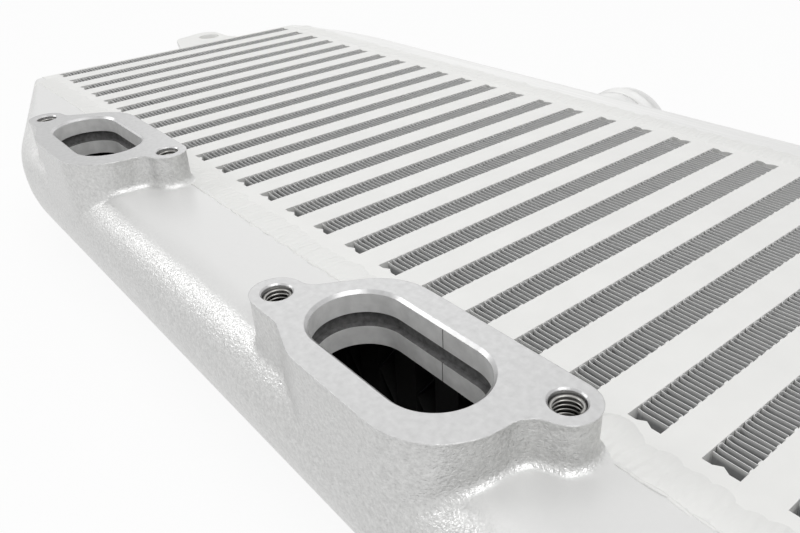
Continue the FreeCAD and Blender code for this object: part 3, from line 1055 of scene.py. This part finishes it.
# Mounting tab
# A piece of aluminium plate with a drilled hole, bent down at its root and welded along both
# edges to the left side plate. It was filed round its edge.
filed_edge = 0.5
tab = dressed_copy("mounting_tab", "mounting_tab_dressed", filed_edge, 2)
finish_piece(tab, "core_aluminium", brazed, "mounting_tab")


# Floor, light and camera
# White paper under the part, a white studio round it and four soft lights, all in metres and watts.
# The camera looks from where the photograph was taken.
reach, floor_z = 6.0, -0.001
corners = [(-reach, -reach), (reach, -reach), (reach, reach), (-reach, reach)]
floor_mesh = bpy.data.meshes.new("floor")
floor_mesh.from_pydata([(*corner, floor_z) for corner in corners], [], [(0, 1, 2, 3)])
floor = bpy.data.objects.new("floor", floor_mesh)
bpy.context.scene.collection.objects.link(floor)

# White paper: matte. Its own white shows to the camera, and the object's shadow falls on it.
paper, tree, shader, _ = metal("white_paper", "#FBFBFB", 0.9, Metallic=0.0)


def background_share(tree, share):
    """The share of a backdrop's own white that camera, glossy and transmission rays see."""
    ray = add(tree, "ShaderNodeLightPath")
    seen = ray.outputs["Is Camera Ray"]
    for label in ("Is Glossy Ray", "Is Transmission Ray"):
        either = [(seen, 0), (ray.outputs[label], 1)]
        seen = add(tree, "ShaderNodeMath", either, operation="MAXIMUM").outputs[0]
    part = add(tree, "ShaderNodeMath", [(seen, 0)], operation="MULTIPLY")
    part.inputs[1].default_value = share
    return part.outputs[0]


glow = add(tree, "ShaderNodeEmission", Color=(1, 1, 1, 1), Strength=1.0)
floor_links = [(background_share(tree, 0.9), 0), (shader.outputs[0], 1), (glow.outputs[0], 2)]
add(tree, "ShaderNodeMixShader", floor_links, tree.nodes["Material Output"].inputs["Surface"])
floor_mesh.materials.append(paper)

world = bpy.data.worlds.new("studio")
bpy.context.scene.world = world
world.use_nodes = True
tree = world.node_tree
room = tree.nodes["Background"]
room.inputs["Color"].default_value = (1, 1, 1, 1)
room.inputs["Strength"].default_value = 0.46
white = add(tree, "ShaderNodeBackground", Color=(1, 1, 1, 1), Strength=1.0)
world_links = [(background_share(tree, 1.0), 0), (room.outputs[0], 1), (white.outputs[0], 2)]
add(tree, "ShaderNodeMixShader", world_links, tree.nodes["World Output"].inputs["Surface"])


def softbox(name, place, target, size, power):
    """A square studio light, aimed at a point, in metres and watts."""
    lamp = bpy.data.lights.new(name, "AREA")
    lamp.shape = "RECTANGLE"
    lamp.size, lamp.size_y = size
    lamp.energy = power
    holder = bpy.data.objects.new(name, lamp)
    bpy.context.scene.collection.objects.link(holder)
    holder.location = place
    holder.rotation_euler = (Vector(target) - Vector(place)).to_track_quat("-Z", "Y").to_euler()


softbox("overhead", (-0.3, 0.2, 1.6), (0, 0, 0), (1.6, 1.2), 4.0)
softbox("behind", (-1.4, 1.05, 1.1), (0, 0, 0), (1.5, 1.0), 2.6)
softbox("above_camera", (0.9, -0.3, 1.35), (0.1, -0.1, 0.03), (0.9, 0.9), 6.5)
softbox("left_front", (-1.32, -1.1, 1.12), (0, -0.1, 0), (0.6, 0.6), 4.8)

camera_data = bpy.data.cameras.new("camera")
camera_data.sensor_fit = "HORIZONTAL"
camera_data.sensor_width = 36.0
camera_data.lens = 33.84
camera_data.clip_start = 0.005
camera_data.clip_end = 50.0
camera = bpy.data.objects.new("camera", camera_data)
bpy.context.scene.collection.objects.link(camera)
right = Vector((0.6267, 0.7778, -0.0483)).normalized()
ahead = Vector((-0.6890, 0.5241, -0.5006)).normalized()
up = right.cross(ahead).normalized()
turn = Matrix((right, up, -ahead)).transposed().to_4x4()
camera.matrix_world = Matrix.Translation((0.25378, -0.21067, 0.18946)) @ turn
bpy.context.scene.camera = camera
bpy.context.scene.view_settings.view_transform = "Standard"
